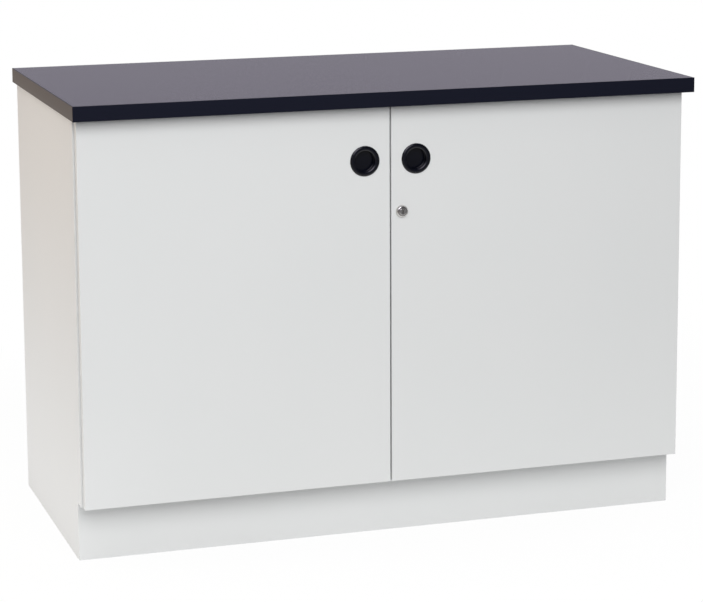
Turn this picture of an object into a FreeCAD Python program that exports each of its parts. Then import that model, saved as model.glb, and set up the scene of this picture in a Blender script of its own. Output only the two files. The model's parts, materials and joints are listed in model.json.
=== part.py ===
import FreeCAD, Part
import math, os

os.makedirs("parts", exist_ok=True)
V = FreeCAD.Vector

# Laboratory bench base unit: a two-door cupboard of melamine-faced board on a
# recessed kickboard, under a dark laminated worktop that overhangs it.
# Millimetres. X to the right, Y to the back, Z up. The origin is on the floor
# under the middle of the worktop. Left and right pieces are mirror images.

# Worktop
BENCH_H = 856.0  # floor to working surface
TOP_W = 1200.0
TOP_D = 600.0
TOP_T = 28.0
LAMINATE_T = 0.8
EDGING_T = 2.0
EDGING_ARRIS = 0.8
SIDE_OVERHANG = 8.0  # worktop beyond each side panel
FRONT_OVERHANG = 49.0  # worktop beyond the side panels' front edges
REAR_OVERHANG = 5.0

# Carcass
BOARD_T = 16.0
BACK_T = 6.0
BACK_INSET = 12.0  # side panels' rear edges to the back panel
GROOVE_DEPTH = 6.5
GROOVE_SPARE = 0.5  # the groove is deeper than the back panel reaches
KICK_H = 110.0  # height of the toe notch and of the kickboard
KICK_RECESS = 30.0
PLINTH_INSET = 15.0
RAIL_D = 100.0  # depth of the flat stretchers under the worktop
SHELF_SETBACK = 18.0
SHELF_REAR_GAP = 5.0
SHELF_END_GAP = 1.0
PIN_ROW_PITCH = 32.0
PIN_ROW_HOLES = 3
PIN_ROW_INSET = 37.0
PIN_D = 5.0
PIN_BORE_DEPTH = 10.0
PIN_NOSE_L = 8.0
PIN_COLLAR_D = 8.0
PIN_COLLAR_T = 0.8  # thinner than the gap at the shelf's end

# Doors
DOOR_T = 16.0
DOOR_STANDOFF = 2.0  # door back to the carcass front edges
SIDE_REVEAL = 3.5  # side panel face to door edge
CENTRE_GAP = 3.0
TOP_REVEAL = 4.0  # worktop underside to door top
DOOR_DROP = 1.0  # door below the top of the kick recess
DOOR_ARRIS = 0.5
BUMPER_D = 8.0
BUMPER_GAP = 0.2
BUMPER_INSET = 12.0

# Cup pulls
PULL_INSET = 48.5  # meeting edge of the door to the pull's middle
PULL_DROP = 99.0
PULL_D = 57.0
PULL_RISE = 3.0
PULL_NOSE = 3.5  # rim to the crest of the ring
PULL_MOUTH_D = 38.0
PULL_CUP_D = 46.0
PULL_DEPTH = 12.0  # cup below the door face
PULL_WALL = 1.8
PULL_LIP = 1.8  # door face to the lip's underside
PULL_FLOOR_GAP = 0.3

# Cam lock in the right door
FIT = 0.05  # radial slack of a turned piece in its bore
LOCK_INSET = 20.5
LOCK_DROP = 197.0
BEZEL_D = 24.0
BEZEL_FACE_D = 19.0
BEZEL_RISE = 5.5
HOUSING_D = 18.0
HOUSING_FLATS = 16.0
HOUSING_TAIL = 6.0  # housing behind the door
NUT_AF = 24.0
NUT_T = 4.5
PLUG_D = 13.0
PLUG_RISE = 1.2
PLUG_SQUARE = 7.0
KEY_SLOT_L = 8.5
KEY_SLOT_W = 2.0
KEY_SLOT_DEPTH = 9.0
CAM_T = 2.0
CAM_W = 16.0
CAM_REACH = 38.0
CAM_GAP = 0.3  # housing's tail to the cam
STRIKE_W = 14.0
STRIKE_H = 40.0
STRIKE_INSET = 1.0
STRIKE_GAP = 0.4  # strike to the cam

# Slide bolt on the left door
BOLT_INSET = 24.0
BOLT_OFF_DOOR = 9.0  # door back to the bolt's axis
BOLT_D = 6.0
BOLT_TRAVEL = 12.0
BOLT_TAIL = 8.0  # bolt below its guide, when drawn
BOLT_POINT = 1.0
BOLT_CLEAR = 2.0  # bolt tip to the socket plate, when drawn
BOLT_STOP_GAP = 0.2
GUIDE_W = 24.0
GUIDE_BASE_T = 1.6
GUIDE_BLOCK_H = 10.0
GUIDE_WALL = 2.5
GUIDE_TOP_GAP = 5.0  # guide to the bolt's tip, when drawn
KNOB_D = 9.0
KNOB_H = 5.0
KNOB_NECK_D = 4.8
KNOB_OFF = 7.0  # bolt's axis to the knob
SOCKET_T = 1.2
SOCKET_W = 34.0
SOCKET_D = 14.0
SOCKET_SLACK = 0.5
SMALL_HOLE_D = 3.4

# Concealed hinges, two a door. The pairs of numbers are plan places for a
# 35 mm cup, which another cup scales: from the cup's middle towards the
# cupboard's middle, and from the door's back forwards.
HINGE_INSET = 100.0  # door end to the hinge's middle
CUP_D = 35.0
K = CUP_D / 35.0
CUP_DEPTH = 12.0 * K
CUP_WALL = 1.2 * K
CUP_TAB = 3.0  # door edge to the cup's bore
CUP_FLOOR_GAP = 0.3
FLANGE_T = 1.2
FLANGE_RIM = 1.5
EAR_PITCH = CUP_D + 13.0
EAR_OFFSET = 6.0
EAR_R = 6.5
EAR_HOLE_D = 4.0
OUTER_AT_ARM = (19.0, -13.5)
OUTER_AT_CUP = (-9.0, 2.8)
OUTER_BENDS = ((-2.8, 3.7), (7.7, -4.7))
INNER_AT_ARM = (9.0, 3.2)
INNER_AT_CUP = (-7.4, 6.2)
INNER_BENDS = ((2.2, 8.3), (5.7, 8.2))
EYE_SHIFT = 0.7  # the inner link's wide eye stands this far ahead of its pin
EYE_PLAY = 0.85
EYE_WALL = 1.1
PIVOT_R = 1.25
OUTER_R = 1.5  # half widths of the links' bands
INNER_R = 1.6
LINK_EYE_R = 2.4
ARM_HALF = 4.0  # half widths along Z of the nested layers
INNER_HALF = 6.5
OUTER_NEAR = 8.0
OUTER_FAR = 9.5
LAYER_GAP = 0.25
ARM_ROOT_R = 3.0
ARM_T = 1.5
ARM_OFF_CUP = 1.0  # cup's middle to the arm channel's underside
ARM_FLANGE_GAP = 1.5  # channel's flanges to the mounting plate's wings
PLATE_SCREW_INSET = 37.0  # side panel's front edge to the plate's screws
PLATE_SCREW_PITCH = 32.0
PLATE_SCREW_D = 6.4
PLATE_BASE_T = 2.0
PLATE_WING = 7.0  # half width of the wings, and wing beyond its screw
PLATE_HALF = 7.0
PLATE_FRONT = 22.0  # from the side panel's front edge
PLATE_REAR = 62.0
CLAMP_INSET = 50.0
CLAMP_HOLE_D = 5.0

# Worked out
X_OUT = TOP_W / 2 - SIDE_OVERHANG
X_IN = X_OUT - BOARD_T
Y_FRONT = -TOP_D / 2 + FRONT_OVERHANG
Y_REAR = TOP_D / 2 - REAR_OVERHANG
Y_KICK = Y_FRONT + KICK_RECESS
BACK_Y = (Y_REAR - BACK_INSET - BACK_T, Y_REAR - BACK_INSET)
Z_TOP = BENCH_H - TOP_T
Z_FLOOR = KICK_H + BOARD_T  # the cupboard's floor
Z_RAIL = Z_TOP - BOARD_T
Z_PINS = (Z_FLOOR + Z_RAIL) / 2
DOOR_X = (-X_OUT + SIDE_REVEAL, -CENTRE_GAP / 2)  # the left door
DOOR_Z = (KICK_H - DOOR_DROP, Z_TOP - TOP_REVEAL)
DOOR_BACK = Y_FRONT - DOOR_STANDOFF
DOOR_FRONT = DOOR_BACK - DOOR_T
HINGE_Z = (DOOR_Z[0] + HINGE_INSET, DOOR_Z[1] - HINGE_INSET)
CUP_X = DOOR_X[0] + CUP_TAB + CUP_D / 2
PULL_AT = (DOOR_X[1] - PULL_INSET, DOOR_FRONT, DOOR_Z[1] - PULL_DROP)
LOCK_AT = (-DOOR_X[1] + LOCK_INSET, DOOR_FRONT, DOOR_Z[1] - LOCK_DROP)
BOLT_X = DOOR_X[1] - BOLT_INSET
BOLT_Y = DOOR_BACK + BOLT_OFF_DOOR
BOLT_TIP = Z_RAIL - SOCKET_T - BOLT_CLEAR
GUIDE_TOP = BOLT_TIP - GUIDE_TOP_GAP
GUIDE_RUN = BOLT_TRAVEL + KNOB_NECK_D + 2 * BOLT_STOP_GAP
GUIDE_Z = (GUIDE_TOP - GUIDE_RUN - 2 * GUIDE_BLOCK_H, GUIDE_TOP)


# ---------------------------------------------------------------- helpers
def block(x, y, z):
    """A box from three (low, high) pairs."""
    return Part.makeBox(x[1] - x[0], y[1] - y[0], z[1] - z[0], V(x[0], y[0], z[0]))


def rod(start, direction, radius, length):
    return Part.makeCylinder(radius, length, V(*start), V(*direction))


def fused(shapes):
    return shapes[0].fuse(shapes[1:]).removeSplitter()


def mirrored(shape):
    return shape.mirror(V(0, 0, 0), V(1, 0, 0))


def turned(profile, centre, axis):
    """A solid of revolution from (radius, distance along the axis) points."""
    wire = Part.makePolygon([V(r, 0, a) for r, a in profile + profile[:1]])
    solid = Part.Face(wire).revolve(V(0, 0, 0), V(0, 0, 1), 360)
    spin = FreeCAD.Rotation(V(0, 0, 1), V(*axis))
    solid.Placement = FreeCAD.Placement(V(*centre), spin)
    return solid


def quarter(centre, reach, height, start, steps=3):
    """Points on a quarter of an ellipse, counterclockwise from a whole quarter."""
    turns = [math.radians(90 * (start + i / steps)) for i in range(steps + 1)]
    return [
        (centre[0] + reach * math.cos(t), centre[1] + height * math.sin(t)) for t in turns
    ]


def edges_where(shape, wanted):
    return [e for e in shape.Edges if wanted(e.CenterOfMass)]


def export(name, solids):
    shape = solids[0] if len(solids) == 1 else Part.makeCompound(solids)
    shape.exportStep("parts/" + name + ".step")


# ---------------------------------------------------------------- worktop
def worktop():
    x, y = TOP_W / 2 - EDGING_T, TOP_D / 2 - EDGING_T
    z_sheet = BENCH_H - LAMINATE_T
    export("worktop_core", [block((-x, x), (-y, y), (Z_TOP, z_sheet))])
    export("worktop_laminate", [block((-x, x), (-y, y), (z_sheet, BENCH_H))])
    export("worktop_edging", edging_strips(x, y))


def edging_strips(x, y):
    """Front and rear strips run the whole width, and the end strips butt between them."""
    z = (Z_TOP, BENCH_H)
    out_x, out_y = TOP_W / 2, TOP_D / 2
    front = block((-out_x, out_x), (-out_y, -y), z)
    outer = edges_where(front, lambda p: abs(p.y + out_y) < 0.01)
    front = front.makeFillet(EDGING_ARRIS, outer)
    end = block((-out_x, -x), (-y, y), z)
    long_edges = edges_where(end, lambda p: abs(p.x + out_x) < 0.01 and abs(p.y) < 1)
    end = end.makeFillet(EDGING_ARRIS, long_edges)
    rear = front.mirror(V(0, 0, 0), V(0, 1, 0))
    return [front, rear, end, mirrored(end)]


# ---------------------------------------------------------------- carcass
def pin_places():
    """Both columns of shelf-pin bores, as (y, z)."""
    middle = (PIN_ROW_HOLES - 1) / 2
    ys = (Y_FRONT + PIN_ROW_INSET, BACK_Y[0] - PIN_ROW_INSET)
    zs = [Z_PINS + PIN_ROW_PITCH * (i - middle) for i in range(PIN_ROW_HOLES)]
    return [(y, z) for y in ys for z in zs]


def left_side_panel():
    """Notched at the foot, grooved for the back panel and bored for the shelf pins."""
    panel = block((-X_OUT, -X_IN), (Y_FRONT, Y_REAR), (0, Z_TOP))
    notch = block((-X_OUT - 1, -X_IN + 1), (Y_FRONT - 1, Y_KICK), (-1, KICK_H))
    groove_x = (-X_IN - GROOVE_DEPTH, -X_IN + 1)
    groove = block(groove_x, BACK_Y, (Z_FLOOR - GROOVE_DEPTH, Z_TOP + 1))
    start_x = -X_IN - PIN_BORE_DEPTH
    bores = [
        rod((start_x, y, z), (1, 0, 0), PIN_D / 2, PIN_BORE_DEPTH + 1)
        for y, z in pin_places()
    ]
    return panel.cut([notch, groove] + bores)


def left_shelf_pins():
    """Collared pins in the middle bores. The shelf lies on their noses."""
    radius, collar = PIN_D / 2 - FIT, PIN_COLLAR_D / 2
    profile = [(0, -PIN_BORE_DEPTH), (radius, -PIN_BORE_DEPTH), (radius, 0), (collar, 0)]
    profile += [(collar, PIN_COLLAR_T), (radius, PIN_COLLAR_T)]
    profile += [(radius, PIN_NOSE_L), (0, PIN_NOSE_L)]
    level = [(y, z) for y, z in pin_places() if abs(z - Z_PINS) < PIN_ROW_PITCH / 2]
    return [turned(profile, (-X_IN, y, z), (1, 0, 0)) for y, z in level]


def cross_boards():
    """Everything that runs between the side panels."""
    x = (-X_IN, X_IN)
    bottom = block(x, (Y_FRONT, Y_REAR), (KICK_H, Z_FLOOR))
    slot = block((-X_IN - 1, X_IN + 1), BACK_Y, (Z_FLOOR - GROOVE_DEPTH, Z_FLOOR + 1))
    export("bottom_panel", [bottom.cut(slot)])

    reach = GROOVE_DEPTH - GROOVE_SPARE
    back_x = (-X_IN - reach, X_IN + reach)
    export("back_panel", [block(back_x, BACK_Y, (Z_FLOOR - reach, Z_TOP))])

    rail_z = (Z_RAIL, Z_TOP)
    front_rail = block(x, (Y_FRONT, Y_FRONT + RAIL_D), rail_z)
    export("front_top_rail", [front_rail.cut(bolt_bore())])
    export("rear_top_rail", [block(x, (BACK_Y[0] - RAIL_D, BACK_Y[0]), rail_z)])

    plinth_y = Y_REAR - PLINTH_INSET
    export("kickboard", [block(x, (Y_KICK, Y_KICK + BOARD_T), (0, KICK_H))])
    export("rear_plinth_rail", [block(x, (plinth_y - BOARD_T, plinth_y), (0, KICK_H))])

    shelf_x = X_IN - SHELF_END_GAP
    shelf_y = (Y_FRONT + SHELF_SETBACK, BACK_Y[0] - SHELF_REAR_GAP)
    shelf_z = Z_PINS + PIN_D / 2 - FIT
    export("shelf", [block((-shelf_x, shelf_x), shelf_y, (shelf_z, shelf_z + BOARD_T))])


def carcass():
    left = left_side_panel()
    export("left_side_panel", [left])
    export("right_side_panel", [mirrored(left)])
    cross_boards()
    pins = left_shelf_pins()
    export("shelf_pins", pins + [mirrored(p) for p in pins])


# ---------------------------------------------------------------- hinges
def place(point, z):
    """A plan place of the left hinge in the frame."""
    return V(CUP_X + K * point[0], DOOR_BACK - K * point[1], z)


def upright(point, radius, low, high):
    return Part.makeCylinder(K * radius, high - low, place(point, low))


def straight(a, b, radius, low, high):
    """A square-ended band between two plan places."""
    run, rise = b[0] - a[0], b[1] - a[1]
    scale = radius / math.hypot(run, rise)
    side = (-rise * scale, run * scale)
    corners = [(a[0] + side[0], a[1] + side[1]), (b[0] + side[0], b[1] + side[1])]
    corners += [(b[0] - side[0], b[1] - side[1]), (a[0] - side[0], a[1] - side[1])]
    points = [place(c, low) for c in corners]
    outline = Part.Face(Part.makePolygon(points + points[:1]))
    return outline.extrude(V(0, 0, high - low))


def band(points, radius, low, high):
    """A bent band with round joints, as a stamped link has."""
    pieces = [straight(a, b, radius, low, high) for a, b in zip(points, points[1:])]
    return pieces + [upright(p, radius, low, high) for p in points[1:-1]]


def outer_link(z):
    """Two gooseneck side plates outside everything else, riveted to the arm's rear pin."""
    plates, holes = [], []
    for low in (z + K * OUTER_NEAR, z - K * OUTER_FAR):
        high = low + K * (OUTER_FAR - OUTER_NEAR)
        plates += band([OUTER_AT_CUP, *OUTER_BENDS, OUTER_AT_ARM], OUTER_R, low, high)
        plates.append(upright(OUTER_AT_CUP, LINK_EYE_R, low, high))
        plates.append(upright(OUTER_AT_ARM, LINK_EYE_R, low, high))
        holes.append(upright(OUTER_AT_CUP, PIVOT_R + FIT, low - 1, high + 1))
    reach = K * OUTER_FAR
    pin = upright(OUTER_AT_ARM, PIVOT_R, z - reach, z + reach)
    return fused(plates + [pin]).cut(holes)


def inner_link(z):
    """Forked round the arm's nose, with a wide eye that rides on the cup's deep pin."""
    low, high = z - K * INNER_HALF, z + K * INNER_HALF
    eye = (INNER_AT_CUP[0], INNER_AT_CUP[1] + EYE_SHIFT)
    eye_bore = PIVOT_R + EYE_PLAY
    pieces = band([eye, *INNER_BENDS, INNER_AT_ARM], INNER_R, low, high)
    pieces.append(upright(eye, eye_bore + EYE_WALL, low, high))
    pieces.append(upright(INNER_AT_ARM, LINK_EYE_R, low, high))
    half = K * (ARM_HALF + LAYER_GAP)
    fork = upright(INNER_AT_ARM, 2.5 * LINK_EYE_R, z - half, z + half)
    hole = upright(eye, eye_bore, low - 1, high + 1)
    pin = upright(INNER_AT_ARM, PIVOT_R, low, high)
    return fused([fused(pieces).cut([fork, hole]), pin])


def arm(z):
    """A cranked arm: a channel over the mounting plate, and a nose with both pivots."""
    under = CUP_X + K * ARM_OFF_CUP
    low_x = -X_IN + PLATE_BASE_T + ARM_FLANGE_GAP
    front, rear = Y_FRONT + PLATE_FRONT, Y_FRONT + PLATE_REAR
    half = PLATE_HALF + LAYER_GAP
    outer = (z - half - ARM_T, z + half + ARM_T)
    channel = block((low_x, under + ARM_T), (front, rear), outer)
    hollow = (z - half, z + half)
    channel = channel.cut(block((low_x - 1, under), (front - 1, rear + 1), hollow))

    low, high = z - K * ARM_HALF, z + K * ARM_HALF
    top = channel.BoundBox.XMax
    root = ((top - CUP_X) / K - ARM_ROOT_R, (DOOR_BACK - front) / K - ARM_ROOT_R)
    crank = straight(root, OUTER_AT_ARM, ARM_ROOT_R, low, high)
    crank = crank.cut(block((under - 20, under), (front - 30, rear), (z - 20, z + 20)))
    elbow = upright(OUTER_AT_ARM, ARM_ROOT_R, low, high)
    nose = straight(OUTER_AT_ARM, INNER_AT_ARM, LINK_EYE_R, low, high)
    tip = upright(INNER_AT_ARM, LINK_EYE_R, low, high)
    clamp_y = Y_FRONT + CLAMP_INSET
    holes = [upright(p, PIVOT_R + FIT, low - 1, high + 1) for p in (OUTER_AT_ARM, INNER_AT_ARM)]
    holes.append(rod((under - 1, clamp_y, z), (1, 0, 0), CLAMP_HOLE_D / 2, ARM_T + 2))
    return fused([channel, crank, elbow, nose, tip]).cut(holes)


def mounting_plate(z):
    """Two screwed wings, and the spine that the arm straddles."""
    spine_x = (-X_IN, CUP_X + K * ARM_OFF_CUP)
    spine_y = (Y_FRONT + PLATE_FRONT, Y_FRONT + PLATE_REAR)
    spine = block(spine_x, spine_y, (z - PLATE_HALF, z + PLATE_HALF))
    screw_y = Y_FRONT + PLATE_SCREW_INSET
    reach = PLATE_SCREW_PITCH / 2
    base_x = (-X_IN, -X_IN + PLATE_BASE_T)
    wing_y = (screw_y - PLATE_WING, screw_y + PLATE_WING)
    wings = block(base_x, wing_y, (z - reach - PLATE_WING, z + reach + PLATE_WING))
    holes = [
        rod((-X_IN, screw_y, end), (1, 0, 0), PLATE_SCREW_D / 2, PLATE_BASE_T)
        for end in (z - reach, z + reach)
    ]
    clamp_at = (-X_IN + PLATE_BASE_T, Y_FRONT + CLAMP_INSET, z)
    holes.append(rod(clamp_at, (1, 0, 0), CLAMP_HOLE_D / 2, spine_x[1] - clamp_at[0]))
    return fused([wings, spine]).cut(holes)


def ear_places(z):
    """Middles of a cup flange's two screw holes."""
    return [V(CUP_X + EAR_OFFSET, DOOR_BACK, z + side * EAR_PITCH / 2) for side in (-1, 1)]


def cup(z):
    """The pressed cup with its screwed flange and both pivot pins."""
    back = V(CUP_X, DOOR_BACK + FLANGE_T, z)
    inward = V(0, -1, 0)
    rim = Part.makeCylinder(CUP_D / 2 + FLANGE_RIM, FLANGE_T, back, inward)
    wall = Part.makeCylinder(CUP_D / 2 - FIT, CUP_DEPTH + FLANGE_T, back, inward)
    low, high = ear_places(z)
    ears = block((low.x - EAR_R, low.x + EAR_R), (low.y, back.y), (low.z, high.z))
    ends = [rod(p, (0, 1, 0), EAR_R, FLANGE_T) for p in (low, high)]
    screw_holes = [rod(p, (0, 1, 0), EAR_HOLE_D / 2, FLANGE_T) for p in (low, high)]
    hollow_r, deep = CUP_D / 2 - CUP_WALL, CUP_DEPTH + FLANGE_T
    hollow = Part.makeCylinder(hollow_r, deep - CUP_WALL, back, inward)
    shell = fused([rim, wall, ears] + ends).cut([hollow] + screw_holes)
    within = Part.makeCylinder(hollow_r + CUP_WALL / 2, deep, back, inward)
    return fused([shell] + [pin.common(within) for pin in cup_pins(z)])


def cup_pins(z):
    """Stubs for the outer link's plates, and a through pin for the inner link."""
    reach, inner_end = CUP_D / 2, K * (OUTER_NEAR - LAYER_GAP)
    return [
        upright(OUTER_AT_CUP, PIVOT_R, z + inner_end, z + reach),
        upright(OUTER_AT_CUP, PIVOT_R, z - reach, z - inner_end),
        upright(INNER_AT_CUP, PIVOT_R, z - reach, z + reach),
    ]


def hinges():
    makers = {
        "hinge_cups": cup,
        "outer_links": outer_link,
        "inner_links": inner_link,
        "hinge_arms": arm,
        "hinge_plates": mounting_plate,
    }
    for name, maker in makers.items():
        left = [maker(z) for z in HINGE_Z]
        export("left_" + name, left)
        export("right_" + name, [mirrored(s) for s in left])


# ---------------------------------------------------------------- doors
def pull():
    """A moulded cup: a rounded ring on the door, an undercut lip, and a flat floor."""
    rim, mouth, outer = PULL_D / 2, PULL_MOUTH_D / 2, PULL_CUP_D / 2 - FIT
    crest, inner = rim - PULL_NOSE, outer - PULL_WALL
    floor, undercut = -PULL_DEPTH + PULL_WALL, inner - mouth
    profile = quarter((crest, 0), PULL_NOSE, PULL_RISE, 0)
    profile += quarter((crest, 0), crest - mouth, PULL_RISE, 1)[1:]
    profile += [(mouth, -PULL_LIP), (inner, -PULL_LIP - undercut / 2)]
    profile += [(inner, floor + undercut), (mouth, floor), (0, floor)]
    profile += [(0, -PULL_DEPTH), (outer, -PULL_DEPTH), (outer, 0)]
    return turned(profile, PULL_AT, (0, -1, 0))


def door_blank():
    """The left door with everything that both doors share."""
    panel = block(DOOR_X, (DOOR_FRONT, DOOR_BACK), DOOR_Z)
    front_edges = edges_where(panel, lambda p: abs(p.y - DOOR_FRONT) < 0.01)
    panel = panel.makeChamfer(DOOR_ARRIS, front_edges)
    pull_bore = rod(PULL_AT, (0, 1, 0), PULL_CUP_D / 2, PULL_DEPTH + PULL_FLOOR_GAP)
    cup_bores = [
        rod((CUP_X, DOOR_BACK, z), (0, -1, 0), CUP_D / 2, CUP_DEPTH + CUP_FLOOR_GAP)
        for z in HINGE_Z
    ]
    return panel.cut([pull_bore] + cup_bores)


def left_bumpers():
    """Soft dots behind the meeting edge, one against the rail and one against the floor."""
    radius = BUMPER_D / 2
    depth = DOOR_STANDOFF - BUMPER_GAP
    heights = ((KICK_H + Z_FLOOR) / 2, (Z_RAIL + DOOR_Z[1]) / 2)
    x = DOOR_X[1] - BUMPER_INSET
    return [rod((x, DOOR_BACK, z), (0, 1, 0), radius, depth) for z in heights]


def doors():
    blank, grip, dots = door_blank(), pull(), left_bumpers()
    export("left_door", [blank])
    export("right_door", [mirrored(blank).cut(housing_bore())])
    export("left_pull", [grip])
    export("right_pull", [mirrored(grip)])
    export("left_door_bumpers", dots)
    export("right_door_bumpers", [mirrored(d) for d in dots])


# ---------------------------------------------------------------- lock
def from_lock(x, y, z):
    """A box given from the lock's axis and the door's face."""
    spans = ((LOCK_AT[i] + s[0], LOCK_AT[i] + s[1]) for i, s in enumerate((x, y, z)))
    return block(*spans)


def housing_bore():
    """The lock's bore in the door, with a flat each side that keeps the housing from turning."""
    bore = rod(LOCK_AT, (0, 1, 0), HOUSING_D / 2 + FIT, DOOR_T)
    flat, radius = HOUSING_FLATS / 2 + FIT, HOUSING_D / 2 + 1
    return bore.common(from_lock((-flat, flat), (0, DOOR_T), (-radius, radius)))


def lock_housing():
    tail, bore, radius = DOOR_T + HOUSING_TAIL, PLUG_D / 2 + FIT, HOUSING_D / 2
    profile = [(bore, -BEZEL_RISE), (BEZEL_FACE_D / 2, -BEZEL_RISE)]
    profile += [(BEZEL_D / 2, -BEZEL_RISE / 4), (BEZEL_D / 2, 0)]
    profile += [(radius, 0), (radius, tail), (bore, tail)]
    housing = turned(profile, LOCK_AT, (0, 1, 0))
    flat = HOUSING_FLATS / 2
    sides = [
        from_lock(span, (0, tail + 1), (-radius, radius))
        for span in ((flat, flat + radius), (-flat - radius, -flat))
    ]
    return housing.cut(sides)


def lock_nut():
    """A hexagon nut on the housing, against the door's back."""
    corner = NUT_AF / math.sqrt(3)
    turns = [math.radians(60 * i) for i in range(7)]
    x, _, z = LOCK_AT
    points = [V(x + corner * math.cos(t), DOOR_BACK, z + corner * math.sin(t)) for t in turns]
    blank = Part.Face(Part.makePolygon(points)).extrude(V(0, NUT_T, 0))
    return blank.cut(rod((x, DOOR_BACK, z), (0, 1, 0), HOUSING_D / 2, NUT_T))


def lock_plug():
    """The barrel, with its key slot in front and a square tail for the cam."""
    front, back, radius = -BEZEL_RISE - PLUG_RISE, DOOR_T + HOUSING_TAIL + CAM_GAP, PLUG_D / 2
    profile = [(0, front), (radius - 0.5, front), (radius, front + 0.5), (radius, back), (0, back)]
    barrel = turned(profile, LOCK_AT, (0, 1, 0))
    side = PLUG_SQUARE / 2
    tail = from_lock((-side, side), (back, back + CAM_T), (-side, side))
    wide, tall = KEY_SLOT_W / 2, KEY_SLOT_L / 2
    slot = from_lock((-wide, wide), (front - 1, front + KEY_SLOT_DEPTH), (-tall, tall))
    return fused([barrel, tail]).cut(slot)


def lock_cam():
    """A blade that points up when unlocked, and turns a quarter towards the left door."""
    start = DOOR_T + HOUSING_TAIL + CAM_GAP
    radius, side = CAM_W / 2, PLUG_SQUARE / 2
    x, y, z = LOCK_AT
    span = CAM_REACH - radius
    shank = from_lock((-radius, radius), (start, start + CAM_T), (0, span))
    ends = [rod((x, y + start, z + up), (0, 1, 0), radius, CAM_T) for up in (0, span)]
    hole = from_lock((-side, side), (start, start + CAM_T), (-side, side))
    return fused([shank] + ends).cut(hole)


def lock_strike():
    """The keeper behind the left door that the turned cam bears on."""
    x = DOOR_X[1] - STRIKE_INSET
    face = DOOR_FRONT + DOOR_T + HOUSING_TAIL + CAM_GAP - STRIKE_GAP
    z = LOCK_AT[2]
    body = block((x - STRIKE_W, x), (DOOR_BACK, face), (z - STRIKE_H / 2, z + STRIKE_H / 2))
    lead_in = edges_where(body, lambda p: abs(p.x - x) < 0.01 and abs(p.y - face) < 0.01)
    body = body.makeChamfer(1.5, lead_in)
    holes = [
        rod((x - STRIKE_W / 2, DOOR_BACK, z + side * STRIKE_H / 3), (0, 1, 0), SMALL_HOLE_D / 2, 20)
        for side in (-1, 1)
    ]
    return body.cut(holes)


def lock():
    export("lock_housing", [lock_housing()])
    export("lock_nut", [lock_nut()])
    export("lock_plug", [lock_plug()])
    export("lock_cam", [lock_cam()])
    export("lock_strike", [lock_strike()])


# ---------------------------------------------------------------- slide bolt
def bolt_bore():
    """The socket's bore, through the plate and up into the front rail."""
    radius = BOLT_D / 2 + SOCKET_SLACK
    start = (BOLT_X, BOLT_Y, Z_RAIL - SOCKET_T)
    return rod(start, (0, 0, 1), radius, BOLT_TRAVEL - BOLT_CLEAR + 2 * SOCKET_SLACK)


def bolt_guide():
    """A screwed base with two bored blocks. The knob's neck stops against them."""
    base_x = (BOLT_X - GUIDE_W / 2, BOLT_X + GUIDE_W / 2)
    base = block(base_x, (DOOR_BACK, DOOR_BACK + GUIDE_BASE_T), GUIDE_Z)
    half = BOLT_D / 2 + GUIDE_WALL
    blocks = []
    for low in (GUIDE_Z[0], GUIDE_Z[1] - GUIDE_BLOCK_H):
        blocks.append(
            block((BOLT_X - half, BOLT_X + half), (DOOR_BACK, BOLT_Y), (low, low + GUIDE_BLOCK_H))
        )
        blocks.append(rod((BOLT_X, BOLT_Y, low), (0, 0, 1), half, GUIDE_BLOCK_H))
    run = rod((BOLT_X, BOLT_Y, GUIDE_Z[0]), (0, 0, 1), BOLT_D / 2 + FIT, GUIDE_Z[1] - GUIDE_Z[0])
    middle, reach = sum(GUIDE_Z) / 2, (GUIDE_W / 2 + half) / 2
    holes = [
        rod((BOLT_X + side * reach, DOOR_BACK, middle), (0, 1, 0), SMALL_HOLE_D / 2, GUIDE_BASE_T)
        for side in (-1, 1)
    ]
    return fused([base] + blocks).cut([run] + holes)


def bolt_rod():
    """The bolt with its thumb knob, drawn: the neck rests just above the lower block."""
    radius, low = BOLT_D / 2, GUIDE_Z[0] - BOLT_TAIL
    profile = [(0, low), (radius, low), (radius, BOLT_TIP - BOLT_POINT)]
    profile += [(radius - BOLT_POINT, BOLT_TIP), (0, BOLT_TIP)]
    shaft = turned(profile, (BOLT_X, BOLT_Y, 0), (0, 0, 1))
    z = GUIDE_Z[0] + GUIDE_BLOCK_H + BOLT_STOP_GAP + KNOB_NECK_D / 2
    neck = rod((BOLT_X, BOLT_Y, z), (0, 1, 0), KNOB_NECK_D / 2, KNOB_OFF)
    knob = rod((BOLT_X, BOLT_Y + KNOB_OFF, z), (0, 1, 0), KNOB_D / 2, KNOB_H)
    return fused([shaft, neck, knob])


def bolt_socket():
    """The plate round the bolt's bore, under the front rail."""
    x = (BOLT_X - SOCKET_W / 2, BOLT_X + SOCKET_W / 2)
    y = (BOLT_Y - SOCKET_D / 2, BOLT_Y + SOCKET_D / 2)
    plate = block(x, y, (Z_RAIL - SOCKET_T, Z_RAIL))
    reach = SOCKET_W / 2 - SMALL_HOLE_D * 1.5
    holes = [
        rod((BOLT_X + side * reach, BOLT_Y, Z_RAIL - SOCKET_T), (0, 0, 1), SMALL_HOLE_D / 2, SOCKET_T)
        for side in (-1, 1)
    ]
    return plate.cut([bolt_bore()] + holes)


def slide_bolt():
    export("bolt_guide", [bolt_guide()])
    export("bolt_rod", [bolt_rod()])
    export("bolt_socket", [bolt_socket()])


worktop()
carcass()
hinges()
doors()
lock()
slide_bolt()
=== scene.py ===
# %% [markdown]
# # A laboratory bench base unit
# A white two-door cupboard stands on a recessed kickboard under a dark laminated worktop.
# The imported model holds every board, hinge and lock part at its real size, in metres.
# This script gives the parts their finishes, adds the small fasteners, and sets up a
# plain white studio. Loading the frame comes first, because every size is read from it.

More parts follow.
